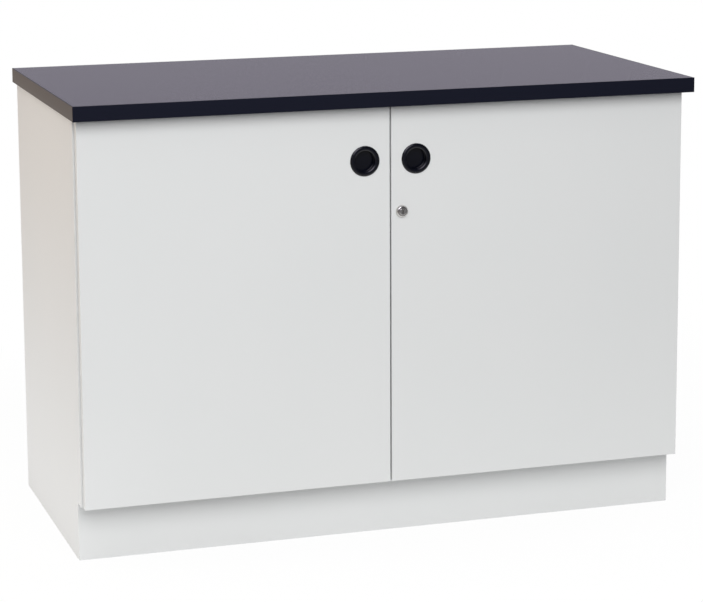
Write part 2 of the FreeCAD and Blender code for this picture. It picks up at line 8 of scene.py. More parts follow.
# %% Load the frame
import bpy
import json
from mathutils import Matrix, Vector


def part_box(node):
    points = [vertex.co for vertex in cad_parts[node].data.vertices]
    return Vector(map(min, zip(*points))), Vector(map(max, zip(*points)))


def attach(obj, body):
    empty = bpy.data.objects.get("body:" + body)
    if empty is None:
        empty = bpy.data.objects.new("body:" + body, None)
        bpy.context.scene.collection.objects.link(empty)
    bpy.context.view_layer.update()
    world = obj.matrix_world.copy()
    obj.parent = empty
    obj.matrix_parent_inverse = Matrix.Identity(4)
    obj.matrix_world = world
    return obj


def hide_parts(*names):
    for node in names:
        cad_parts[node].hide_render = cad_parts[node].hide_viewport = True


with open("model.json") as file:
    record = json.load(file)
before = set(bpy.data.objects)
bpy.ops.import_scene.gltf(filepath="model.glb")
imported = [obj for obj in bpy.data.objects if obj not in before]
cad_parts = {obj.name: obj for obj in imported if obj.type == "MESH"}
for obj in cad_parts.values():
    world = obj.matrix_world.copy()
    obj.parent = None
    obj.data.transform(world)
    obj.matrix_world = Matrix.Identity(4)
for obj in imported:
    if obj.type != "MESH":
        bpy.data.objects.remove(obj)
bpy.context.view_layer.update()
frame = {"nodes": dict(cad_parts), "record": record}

# %% Tools and units
import json
import math

import bmesh
import bpy
from mathutils import Matrix, Vector

MM = 0.001
X, Y, Z = Vector((1, 0, 0)), Vector((0, 1, 0)), Vector((0, 0, 1))
SIDES = {"left": -1, "right": 1}
bodies = frame["record"]["behaviour"]["bodies"]
body_of = {node: body for body, nodes in bodies.items() for node in nodes}

# %% [markdown]
# ## How a finish is written
# A shader tree can be built with the editor's names, or with one helper that adds a
# node and links it. The helper keeps each material to a few lines that read in the
# order in which the light meets them. Colours are written as sRGB hex values, as a
# paint chart gives them, and are made linear in one place.

# %% Colours and nodes
def linear(hex_colour):
    """An sRGB hex colour as linear red, green, blue and alpha."""
    channels = [int(hex_colour[i : i + 2], 16) / 255 for i in (1, 3, 5)]
    curve = [c / 12.92 if c <= 0.04045 else ((c + 0.055) / 1.055) ** 2.4 for c in channels]
    return curve + [1.0]


def add(tree, kind, inputs=(), **settings):
    """Adds one node. An input is a value, a socket, or a node, whose first output it takes."""
    node = tree.nodes.new("ShaderNode" + kind)
    for name, value in settings.items():
        setattr(node, name, value)
    for key, value in dict(inputs).items():
        if isinstance(value, bpy.types.Node):
            value = value.outputs[0]
        if isinstance(value, bpy.types.NodeSocket):
            tree.links.new(value, node.inputs[key])
        else:
            node.inputs[key].default_value = value
    return node


def start_material(name, colour, roughness, metallic=0.0, specular=0.5):
    """A material with one shader, its tree, and the surface's place in metres."""
    material = bpy.data.materials.new(name)
    material.use_nodes = True
    tree = material.node_tree
    shader = tree.nodes["Principled BSDF"]
    shader.inputs["Base Color"].default_value = linear(colour)
    shader.inputs["Roughness"].default_value = roughness
    shader.inputs["Metallic"].default_value = metallic
    shader.inputs["Specular IOR Level"].default_value = specular
    place = add(tree, "TexCoord").outputs["Object"]
    return material, tree, shader, place


def per_metre(size_mm):
    """The scale that makes a pattern repeat about every so many millimetres."""
    return 1 / (size_mm * MM)


def between(span, low=0.0, high=1.0):
    """What a Map Range node needs to turn a span of values into low to high."""
    return {"From Min": span[0], "From Max": span[1], "To Min": low, "To Max": high}


# A Mix node has the same socket names for each type, so its sockets go by index
FACTOR, NUMBER_A, NUMBER_B, MIX_A, MIX_B, MIX_OUT = 0, 2, 3, 6, 7, 2
print("mid grey in linear light:", round(linear("#808080")[0], 3))

# %% [markdown]
# ## White melamine
# The boards are chipboard faced with white melamine paper, hot-pressed against a plate
# that leaves a fine pearl texture. The eye sees an even, slightly cool white with a
# soft broad sheen and no pattern. A flat colour would look like paint on metal, so the
# roughness wanders a little and a very shallow bump breaks up the highlight. The real
# pearls are about 0.3 mm wide, and are drawn 1.5 mm wide so that they show at all.

# %% Melamine facing
PEARL = 1.5
PEARL_DEPTH = 0.02
PEARL_STRENGTH = 0.12
CLOUD = 260.0
GLOSS_SPREAD = 0.05


def melamine(name, colour, shade, roughness):
    material, tree, shader, place = start_material(name, colour, roughness)
    cloud = add(tree, "TexNoise", {"Vector": place, "Scale": per_metre(CLOUD), "Detail": 2.0})
    tint = add(
        tree,
        "Mix",
        {FACTOR: cloud.outputs["Fac"], MIX_A: linear(colour), MIX_B: linear(shade)},
        data_type="RGBA",
    )
    tree.links.new(tint.outputs[MIX_OUT], shader.inputs["Base Color"])
    pearl = add(tree, "TexNoise", {"Vector": place, "Scale": per_metre(PEARL), "Detail": 1.0})
    gloss = add(
        tree,
        "MapRange",
        {
            "Value": pearl.outputs["Fac"],
            "To Min": roughness - GLOSS_SPREAD,
            "To Max": roughness + GLOSS_SPREAD,
        },
    )
    tree.links.new(gloss.outputs["Result"], shader.inputs["Roughness"])
    relief = {"Strength": PEARL_STRENGTH, "Distance": PEARL_DEPTH * MM}
    bump = add(tree, "Bump", {"Height": pearl.outputs["Fac"], **relief})
    tree.links.new(bump.outputs["Normal"], shader.inputs["Normal"])
    return material


board = melamine("white_melamine", "#E9EAEA", "#E6E8E8", roughness=0.40)
back_board = melamine("white_faced_hardboard", "#E6E7E6", "#E2E3E2", roughness=0.48)
print("boards:", board.name, "and", back_board.name)

# %% [markdown]
# ## The dark worktop
# The worktop is chipboard with a near-black, blue-grey high-pressure laminate. The
# laminate is pressed against a matte plate, so it looks dark from above and much paler
# along a low line of sight, where any smooth surface mirrors the room. The edging is an
# extruded ABS strip of the same colour. Both need fine grain in the gloss and not in
# the colour. The grain is drawn coarser than the real one, so that it shows.

# %% Worktop finishes
LAMINATE_GRAIN = 1.5
EDGING_GRAIN = 2.0
GRAIN_DEPTH = 0.02
GRAIN_STRENGTH = 0.2


def dark_finish(name, colour, roughness, specular, grain):
    material, tree, shader, place = start_material(name, colour, roughness, specular=specular)
    fine = add(tree, "TexNoise", {"Vector": place, "Scale": per_metre(grain), "Detail": 2.0})
    gloss = add(
        tree,
        "MapRange",
        {
            "Value": fine.outputs["Fac"],
            "To Min": roughness - GLOSS_SPREAD,
            "To Max": roughness + GLOSS_SPREAD,
        },
    )
    tree.links.new(gloss.outputs["Result"], shader.inputs["Roughness"])
    relief = {"Strength": GRAIN_STRENGTH, "Distance": GRAIN_DEPTH * MM}
    bump = add(tree, "Bump", {"Height": fine.outputs["Fac"], **relief})
    tree.links.new(bump.outputs["Normal"], shader.inputs["Normal"])
    return material


laminate = dark_finish(
    "matte_dark_laminate", "#1E1B30", roughness=0.26, specular=0.24, grain=LAMINATE_GRAIN
)
edging = dark_finish(
    "dark_abs_edging", "#161825", roughness=0.34, specular=0.18, grain=EDGING_GRAIN
)
print("worktop:", laminate.name, "and", edging.name)

# %% [markdown]
# ## The worktop's core
# The core is pressed from wood chips of a few millimetres, each of a slightly different
# brown. A Voronoi pattern gives every chip its own value. Whatever looks down, found by
# a test of where the surface faces, is near-black: partly a real balancing paper that keeps
# the board flat, and partly painted shade, so that the shade under the overhang is deeper.

# %% Chipboard core
CHIP = 3.5
CHIP_DEPTH = 0.2
CHIP_STRENGTH = 0.4
FACES_DOWN = -0.5


def chipboard():
    """Raw chips, and on whatever looks down a dark balancer that is also painted shade."""
    material, tree, shader, place = start_material("chipboard_balancer_and_painted_shade", "#A58A63", 0.8)
    chips = add(tree, "TexVoronoi", {"Vector": place, "Scale": per_metre(CHIP)})
    value = add(tree, "SeparateColor", {"Color": chips.outputs["Color"]})
    tint = add(
        tree,
        "Mix",
        {FACTOR: value.outputs["Red"], MIX_A: linear("#8F7550"), MIX_B: linear("#BFA67C")},
        data_type="RGBA",
    )
    normal = add(tree, "NewGeometry").outputs["True Normal"]
    upward = add(tree, "SeparateXYZ", {"Vector": normal}).outputs["Z"]
    # Painted shade: downward faces are near-black, a balancing paper made dark to deepen the
    # shade under the worktop
    balancer_and_shade_mask = add(tree, "Math", {0: upward, 1: FACES_DOWN}, operation="LESS_THAN")
    paper = add(
        tree,
        "Mix",
        {FACTOR: balancer_and_shade_mask, MIX_A: tint.outputs[MIX_OUT], MIX_B: linear("#2C2C33")},
        data_type="RGBA",
    )
    tree.links.new(paper.outputs[MIX_OUT], shader.inputs["Base Color"])
    relief = {"Strength": CHIP_STRENGTH, "Distance": CHIP_DEPTH * MM}
    bump = add(tree, "Bump", {"Height": chips.outputs["Distance"], **relief})
    tree.links.new(bump.outputs["Normal"], shader.inputs["Normal"])
    return material


core = chipboard()
print("core:", core.name)

# %% [markdown]
# ## Moulded black plastic
# The round pulls are injection-moulded in black nylon. The mould is spark-eroded, which
# leaves a fine even roughness, so a highlight is soft-edged and grey rather than white.

# %% Pull plastic
SPARK_GRAIN = 0.8
SPARK_DEPTH = 0.03
SPARK_STRENGTH = 0.25


def moulded_black():
    finish = start_material("moulded_black_nylon", "#060812", 0.24, specular=0.48)
    material, tree, shader, place = finish
    grain = {"Scale": per_metre(SPARK_GRAIN), "Detail": 1.0}
    spark = add(tree, "TexNoise", {"Vector": place, **grain})
    relief = {"Strength": SPARK_STRENGTH, "Distance": SPARK_DEPTH * MM}
    bump = add(tree, "Bump", {"Height": spark.outputs["Fac"], **relief})
    tree.links.new(bump.outputs["Normal"], shader.inputs["Normal"])
    return material


black_plastic = moulded_black()
print("pulls:", black_plastic.name)

# %% [markdown]
# ## Plated metal
# The lock is a zinc die-casting with bright nickel over polished faces. The hinges are
# pressed steel with a duller nickel, and the small fittings and screws are zinc-plated.
# All are bare metals to the eye: the colour tints the mirror, and the roughness decides
# how much of the room it shows. Plating clouds slightly, so the roughness is not even.

# %% Metals
PLATING_CLOUD = 6.0


def plated(name, colour, roughness, spread):
    material, tree, shader, place = start_material(name, colour, roughness, metallic=1.0)
    pattern = {"Scale": per_metre(PLATING_CLOUD), "Detail": 3.0}
    cloud = add(tree, "TexNoise", {"Vector": place, **pattern})
    limits = {"To Min": roughness - spread, "To Max": roughness + spread}
    gloss = add(tree, "MapRange", {"Value": cloud.outputs["Fac"], **limits})
    tree.links.new(gloss.outputs["Result"], shader.inputs["Roughness"])
    return material


nickel = plated("polished_nickel_plating", "#D6D4D1", roughness=0.19, spread=0.05)
hinge_steel = plated("pressed_nickel_plated_steel", "#BDBBB8", roughness=0.30, spread=0.08)
zinc = plated("zinc_plated_steel", "#B9BBC0", roughness=0.36, spread=0.10)
print("metals:", nickel.name, hinge_steel.name, zinc.name)

# %% [markdown]
# ## Soft bumpers
# A clear polyurethane dot behind each door corner takes the knock as the door shuts.
# It is domed, glossy and lets some light through, which a little transmission gives.

# %% Bumper plastic
HAZE = 2.0
CLEARNESS = 0.55


def clear_plastic():
    material, tree, shader, place = start_material("clear_soft_bumper", "#E4E6E2", 0.2)
    shader.inputs["Transmission Weight"].default_value = CLEARNESS
    haze = add(tree, "TexNoise", {"Vector": place, "Scale": per_metre(HAZE)})
    limits = {"To Min": 0.15, "To Max": 0.3}
    gloss = add(tree, "MapRange", {"Value": haze.outputs["Fac"], **limits})
    tree.links.new(gloss.outputs["Result"], shader.inputs["Roughness"])
    return material


bumper = clear_plastic()
print("bumpers:", bumper.name)

# %% [markdown]
# ## Handing out the finishes
# The record names a slot for each part, such as board or nickel. One table from slots to
# materials dresses the whole frame, and the pieces that are made later use it too.

# %% Finishes on the frame's parts
finish_of_slot = {
    "board": board,
    "back_board": back_board,
    "core": core,
    "laminate": laminate,
    "edging": edging,
    "pull_plastic": black_plastic,
    "nickel": nickel,
    "hinge_steel": hinge_steel,
    "fitting_steel": zinc,
    "bumper": bumper,
}
slot_of = {part["node"]: part["material_slot"] for part in frame["record"]["subparts"]}
for name, node in frame["nodes"].items():
    for material_slot in node.material_slots:
        material_slot.material = finish_of_slot[slot_of[name]]
print("finishes on", len(slot_of), "nodes")

# %% [markdown]
# ## Turned and pressed parts
# The frame's round parts are made of flat facets, which a metal or a glossy plastic
# shows at once. Each such part is copied, its loose triangles are merged, and its
# normals are smoothed wherever two faces meet at a shallow angle. On the smallest parts
# a narrow bevel on the sharp edges catches the light as a real tumbled edge does.

# %% Smooth copies of the frame's small parts
SMOOTH_ANGLE = math.radians(32)
FLAT_ANGLE = math.radians(0.5)
WELD = 0.002 * MM
BEVEL_STEPS = 2
PIN_BEVEL = 0.2
PLUG_BEVEL = 0.15
BUMPER_DOME = 0.6


def merged_copy(node):
    """A frame node's shape with its loose triangles joined into whole faces."""
    bm = bmesh.new()
    bm.from_mesh(frame["nodes"][node].data)
    bmesh.ops.remove_doubles(bm, verts=bm.verts[:], dist=WELD)
    bmesh.ops.dissolve_limit(
        bm, angle_limit=FLAT_ANGLE, verts=bm.verts[:], edges=bm.edges[:]
    )
    return bm


def settle(piece, body, slot):
    """Gives a finished piece its body and the finish of its record slot."""
    piece.data.materials.clear()
    piece.data.materials.append(finish_of_slot[slot])
    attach(piece, body)
    return piece


def from_bmesh(bm, name, smooth=True):
    """A new object at the origin from a bmesh, which is used up."""
    mesh = bpy.data.meshes.new(name)
    bm.to_mesh(mesh)
    bm.free()
    piece = bpy.data.objects.new(name, mesh)
    bpy.context.scene.collection.objects.link(piece)
    if smooth:
        mesh.shade_smooth()
        mesh.set_sharp_from_angle(angle=SMOOTH_ANGLE)
    return piece


def soften(piece, width_mm):
    """A narrow rounded bevel on every edge sharper than the smooth angle."""
    bevel = piece.modifiers.new("edge_break", "BEVEL")
    bevel.width = width_mm * MM
    bevel.segments = BEVEL_STEPS
    bevel.limit_method = "ANGLE"
    bevel.angle_limit = SMOOTH_ANGLE


def dress(node, width_mm=0.0):
    """A smooth copy of a node that stands for it."""
    piece = from_bmesh(merged_copy(node), node + "_smooth")
    if width_mm:
        soften(piece, width_mm)
    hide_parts(node)
    return settle(piece, body_of[node], slot_of[node])


dressed = [dress("worktop_edging"), dress("shelf_pins", PIN_BEVEL)]
for side in SIDES:
    dressed += [dress(side + "_hinge_" + part) for part in ("cups", "arms", "plates")]
    dressed += [dress(side + "_" + part) for part in ("outer_links", "inner_links")]
    dressed.append(dress(side + "_door_bumpers", BUMPER_DOME))
dressed += [dress(node) for node in ("bolt_rod", "bolt_guide", "bolt_socket")]
dressed += [dress(node) for node in ("lock_nut", "lock_cam", "lock_strike")]
dressed.append(dress("lock_plug", PLUG_BEVEL))
print("smooth copies:", len(dressed))

# %% [markdown]
# ## The lock's bezel
# The collar in front of the door is turned and then polished, so its front edge is a
# soft dome and not a crisp corner. A dome mirrors the whole room in a few millimetres,
# which gives a polished lock its dark ring and its one bright spot. Only the edge round
# the front face is bevelled, wide and in many steps, and the rest is left as it is.

# %% Bezel
BEZEL_DOME = 1.2
DOME_STEPS = 6
RIM_BAND = 0.1


def domed_bezel(node):
    bm = merged_copy(node)
    low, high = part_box(node)
    centre = (low + high) / 2
    at_front = [v for v in bm.verts if v.co.y < low.y + WELD]
    rim = max((v.co - centre).xz.length for v in at_front)
    outer = {v for v in at_front if (v.co - centre).xz.length > rim - RIM_BAND * MM}
    ring = [e for e in bm.edges if set(e.verts) <= outer]
    bmesh.ops.bevel(
        bm,
        geom=ring,
        offset=BEZEL_DOME * MM,
        affect="EDGES",
        segments=DOME_STEPS,
        profile=0.5,
        material=-1,
    )
    piece = from_bmesh(bm, node + "_domed")
    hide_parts(node)
    settle(piece, body_of[node], slot_of[node])
    print("domed", len(ring), "edges of the bezel's front")


domed_bezel("lock_housing")

# %% [markdown]
# ## Round cup pulls
# Each pull is one moulding: a rounded ring that stands 3 mm off the door, an undercut
# lip for the fingertips, and a cup let into the door. It is round about one axis, so
# its section is drawn once and spun. The ring's section is half an ellipse, a little
# longer towards the rim, and the foot of the cup is rounded as a mould needs. Only the
# surface that shows is made: a skin that ends at the ring's foot and has no back.

# %% Cup pulls
PULL_STEPS = 96
ARC_STEPS = 10
RING_RISE = 3.0
RING_NOSE = 5.0
MOUTH_RADIUS = 19.0
CUP_RADIUS = 21.1
LIP_DEPTH = 1.8
LIP_SLOPE = 1.0
CUP_FLOOR = 10.2
FLOOR_ROUND = 1.2


def ellipse(centre, reach, height, start, stop):
    """Points on part of an ellipse, with the angles in degrees."""
    turns = [math.radians(start + (stop - start) * i / ARC_STEPS) for i in range(ARC_STEPS + 1)]
    return [(centre[0] + reach * math.cos(t), centre[1] + height * math.sin(t)) for t in turns]


def pull_section(rim):
    """(radius, height above the door) from the ring's foot to the middle of the floor."""
    crest = rim - RING_NOSE
    section = ellipse((crest, 0), RING_NOSE, RING_RISE, 0, 90)
    section += ellipse((crest, 0), crest - MOUTH_RADIUS, RING_RISE, 90, 180)[1:]
    section += [(MOUTH_RADIUS, -LIP_DEPTH), (CUP_RADIUS, -LIP_DEPTH - LIP_SLOPE)]
    corner = (CUP_RADIUS - FLOOR_ROUND, -CUP_FLOOR + FLOOR_ROUND)
    section += ellipse(corner, FLOOR_ROUND, FLOOR_ROUND, 0, -90)
    return section + [(0.0, -CUP_FLOOR)]


def cup_pull(node):
    low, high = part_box(node)
    centre = (low + high) / 2
    rim = (high.x - low.x) / 2 / MM
    face = low.y + RING_RISE * MM
    bm = bmesh.new()
    points = [
        bm.verts.new((centre.x + r * MM, face - h * MM, centre.z)) for r, h in pull_section(rim)
    ]
    edges = [bm.edges.new(pair) for pair in zip(points, points[1:])]
    bmesh.ops.spin(
        bm,
        geom=points + edges,
        cent=(centre.x, face, centre.z),
        axis=-Y,
        angle=math.tau,
        steps=PULL_STEPS,
        use_merge=True,
    )
    bmesh.ops.remove_doubles(bm, verts=bm.verts[:], dist=WELD)
    bmesh.ops.recalc_face_normals(bm, faces=bm.faces[:])
    middle = min(bm.faces, key=lambda f: (f.calc_center_median() - centre).xz.length)
    if middle.normal.y > 0:
        bmesh.ops.reverse_faces(bm, faces=bm.faces[:])
    piece = from_bmesh(bm, node + "_moulding")
    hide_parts(node)
    return settle(piece, body_of[node], "pull_plastic")


pulls = [cup_pull(side + "_pull") for side in SIDES]
print("pulls:", [len(p.data.polygons) for p in pulls], "faces")

# %% [markdown]
# ## Screws
# The real screws all have cross-recess heads and are zinc or nickel plated: pan heads on
# the hinges and fittings, wider ones on the mounting plates, and flat ones where
# something sweeps past. A head is spun from its section. For its recess the crown is
# sliced with planes, and a copy of the cross that they outline is pushed downwards. The
# crown's own faces are not taken away, so they cover the recess and it does not show.
# Every copy is then placed by a matrix, and the copies at one job become one piece.

# %% One screw
HEAD_STEPS = 24
SHANK_SHARE = 0.45
CROWN = ((0, 1), (0.55, 0.97), (0.85, 0.72), (1, 0.3))
ARM_HALF_SHARE = 0.07
ARM_REACH_SHARE = 0.3
RECESS_SHARE = 0.6
FACES_UP = 0.5
TWIST_EACH = 0.7


def half_section(width, height, length):
    """(radius, height) of a screw, from its top's middle to the shank's end."""
    r, shank = width / 2, width / 2 * SHANK_SHARE
    head = [(out * r, rise * height) for out, rise in CROWN]
    return head + [(r, 0), (shank, 0), (shank, -length), (0, -length)]


def cut_recess(bm, half, reach, depth):
    """Sinks a copy of a cross below the crown, whose own faces stay over it.

    Half and reach are half the width and half the length of the cross's arms.
    """
    for axis in (X, Y):
        for distance in (-reach, -half, half, reach):
            geometry = bm.verts[:] + bm.edges[:] + bm.faces[:]
            bmesh.ops.bisect_plane(bm, geom=geometry, plane_co=axis * distance, plane_no=axis)

    def in_cross(face):
        x, y, z = (abs(v) for v in face.calc_center_median())
        return face.normal.z > FACES_UP and min(x, y) < half and max(x, y) < reach

    cross = [f for f in bm.faces if in_cross(f)]
    grown = bmesh.ops.extrude_face_region(bm, geom=cross)["geom"]
    moved = [v for v in grown if isinstance(v, bmesh.types.BMVert)]
    bmesh.ops.translate(bm, verts=moved, vec=(0, 0, -depth))


def screw(width, height, length):
    """A screw along Z with its head's underside at the origin, as a mesh."""
    bm = bmesh.new()
    points = [bm.verts.new((r * MM, 0, h * MM)) for r, h in half_section(width, height, length)]
    edges = [bm.edges.new(pair) for pair in zip(points, points[1:])]
    bmesh.ops.spin(
        bm, geom=points + edges, axis=Z, angle=math.tau, steps=HEAD_STEPS, use_merge=True
    )
    bmesh.ops.remove_doubles(bm, verts=bm.verts[:], dist=WELD)
    bmesh.ops.recalc_face_normals(bm, faces=bm.faces[:])
    half, reach = ARM_HALF_SHARE * width * MM, ARM_REACH_SHARE * width * MM
    cut_recess(bm, half, reach, RECESS_SHARE * height * MM)
    mesh = bpy.data.meshes.new("screw")
    bm.to_mesh(mesh)
    bm.free()
    return mesh


def place_screws(name, mesh, spots, axis, body, slot):
    """One piece from copies of a screw whose heads look along an axis."""
    turn = Z.rotation_difference(axis).to_matrix().to_4x4()
    bm = bmesh.new()
    for i, spot in enumerate(spots):
        bm.from_mesh(mesh)
        bm.verts.ensure_lookup_table()
        fresh = bm.verts[-len(mesh.vertices) :]
        twist = Matrix.Rotation(TWIST_EACH * i, 4, "Z")
        bmesh.ops.transform(bm, matrix=Matrix.Translation(spot) @ turn @ twist, verts=fresh)
    settle(from_bmesh(bm, name), body, slot)


# Width and height of the head, then length of the shank, in millimetres
cup_screw = screw(7.5, 2.0, 8.0)
plate_screw = screw(8.6, 2.2, 10.0)
clamp_screw = screw(7.6, 1.6, 6.0)
small_screw = screw(6.2, 1.6, 8.0)
flush_screw = screw(6.4, 0.3, 5.0)
worktop_screw = screw(8.0, 2.4, 6.0)
print("one screw has", len(cup_screw.polygons), "faces")

# %% Hinge screws
EAR_END = 30.5
EAR_HALF_PITCH = 24.0
EAR_FORWARD = 6.0
PLATE_HALF_PITCH = 16.0
PLATE_SCREW_BACK = 15.0
PLATE_BASE = 2.0
ARM_OVER_PLATE = 1.5
CLAMP_BACK = 28.0
ADJUST_BACK = 13.0

for side, sign in SIDES.items():
    low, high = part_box(side + "_hinge_cups")
    middle_x = (low.x + high.x) / 2
    heights = (low.z + EAR_END * MM, high.z - EAR_END * MM)
    ears = [
        Vector((middle_x - sign * EAR_FORWARD * MM, high.y, z + end * EAR_HALF_PITCH * MM))
        for z in heights
        for end in (-1, 1)
    ]
    place_screws(side + "_cup_screws", cup_screw, ears, Y, side + "_door", "hinge_steel")

    low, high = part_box(side + "_hinge_plates")
    spine_x = low.x if sign > 0 else high.x
    inward = -sign * X
    base_x = (high.x if sign > 0 else low.x) + PLATE_BASE * MM * inward.x
    wings = [
        Vector((base_x, low.y + PLATE_SCREW_BACK * MM, z + end * PLATE_HALF_PITCH * MM))
        for z in heights
        for end in (-1, 1)
    ]
    place_screws(side + "_plate_screws", plate_screw, wings, inward, "carcass", "fitting_steel")

    arm_x = spine_x + ARM_OVER_PLATE * MM * inward.x
    on_arm = [
        Vector((arm_x, low.y + back * MM, z))
        for z in heights
        for back in (ADJUST_BACK, CLAMP_BACK)
    ]
    place_screws(side + "_arm_screws", clamp_screw, on_arm, inward, "carcass", "fitting_steel")
    print(side, "hinges at", [round(z / MM) for z in heights], "mm")

# %% [markdown]
# ## Fasteners of the lock, the bolt and the worktop
# The strike's screws are countersunk, because the lock's cam sweeps closely past it. The
# guide, the socket and the cam have small pan heads. The worktop is held from below, up
# through the two rails, and its screws show only to someone who looks up inside.

# %% Small screws
STRIKE_HALF_PITCH = 13.3
GUIDE_HALF_PITCH = 8.75
GUIDE_BASE = 1.6
SOCKET_HALF_PITCH = 11.9
RAIL_SCREWS = (-450.0, -150.0, 150.0, 450.0)

low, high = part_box("lock_strike")
on_strike = [
    Vector(((low.x + high.x) / 2, high.y, (low.z + high.z) / 2 + end * STRIKE_HALF_PITCH * MM))
    for end in (-1, 1)
]
place_screws("strike_screws", flush_screw, on_strike, Y, "left_door", "fitting_steel")

low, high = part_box("bolt_guide")
middle_x, middle_z = (low.x + high.x) / 2, (low.z + high.z) / 2
on_guide = [
    Vector((middle_x + end * GUIDE_HALF_PITCH * MM, low.y + GUIDE_BASE * MM, middle_z))
    for end in (-1, 1)
]
place_screws("guide_screws", small_screw, on_guide, Y, "left_door", "fitting_steel")

low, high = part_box("bolt_socket")
on_socket = [
    Vector(((low.x + high.x) / 2 + end * SOCKET_HALF_PITCH * MM, (low.y + high.y) / 2, low.z))
    for end in (-1, 1)
]
place_screws("socket_screws", small_screw, on_socket, -Z, "carcass", "fitting_steel")

low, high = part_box("lock_housing")
on_cam = [Vector(((low.x + high.x) / 2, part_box("lock_cam")[1].y, (low.z + high.z) / 2))]
place_screws("cam_screw", small_screw, on_cam, Y, "lock_barrel", "fitting_steel")

on_rails = []
for rail in ("front_top_rail", "rear_top_rail"):
    low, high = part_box(rail)
    on_rails += [Vector((x * MM, (low.y + high.y) / 2, low.z)) for x in RAIL_SCREWS]
place_screws("worktop_screws", worktop_screw, on_rails, -Z, "carcass", "fitting_steel")
print("screws on the strike, the guide, the socket, the cam and", len(on_rails), "in the rails")

# %% [markdown]
# ## The studio
# The backdrop is plain white. The floor is a large white plane: a camera ray sees it
# almost as bright as the backdrop, so that they join without a line, while some of its
# real shading is mixed in and keeps a faint shadow under the bench. For all other rays
# the white paper ends a few steps away, as it does in a real studio. The light that
# comes up from it is then strongest near the floor, and the metal mirrors a dark room.
# In reflections the floor stays bright behind the bench, and is dimmer and warmer at the
# far left. Diffuse rays get a fixed glow from the paper, more of it at the left side.

# %% Floor
FLOOR_REACH = 30.0
SHADOW_SHARE = 0.06
SHADOW_REACH = 0.9
LAMP_SHARE = 0.41
LEFT_SHARE = 0.62
LEFT_DIM = 0.33
PAPER_SIDE = 1.2
PAPER_FRONT = 0.8
PAPER_FADE = 0.6
PAPER = "#FCFCFC"
PAPER_IN_ROOM = "#A9A9A9"
ROOM_FLOOR = "#56565A"
GLOSS_LEFT = 0.20
GLOSS_RIGHT = 0.06
GLOSS_SPAN = (0.0, 2.5)
BEHIND = (0.3, 2.0)
FAR_LEFT = (-1.1, -1.9)
LEFT_SIDE = (-0.55, -0.7)
WARM_FLOOR = (1.0, 0.76, 0.55, 1.0)
WHITE = (1.0, 1.0, 1.0, 1.0)


def soft_end(start):
    """What turns a distance into one up to the start, and into nothing past a soft end."""
    return between((start, start + PAPER_FADE), 1.0, 0.0)


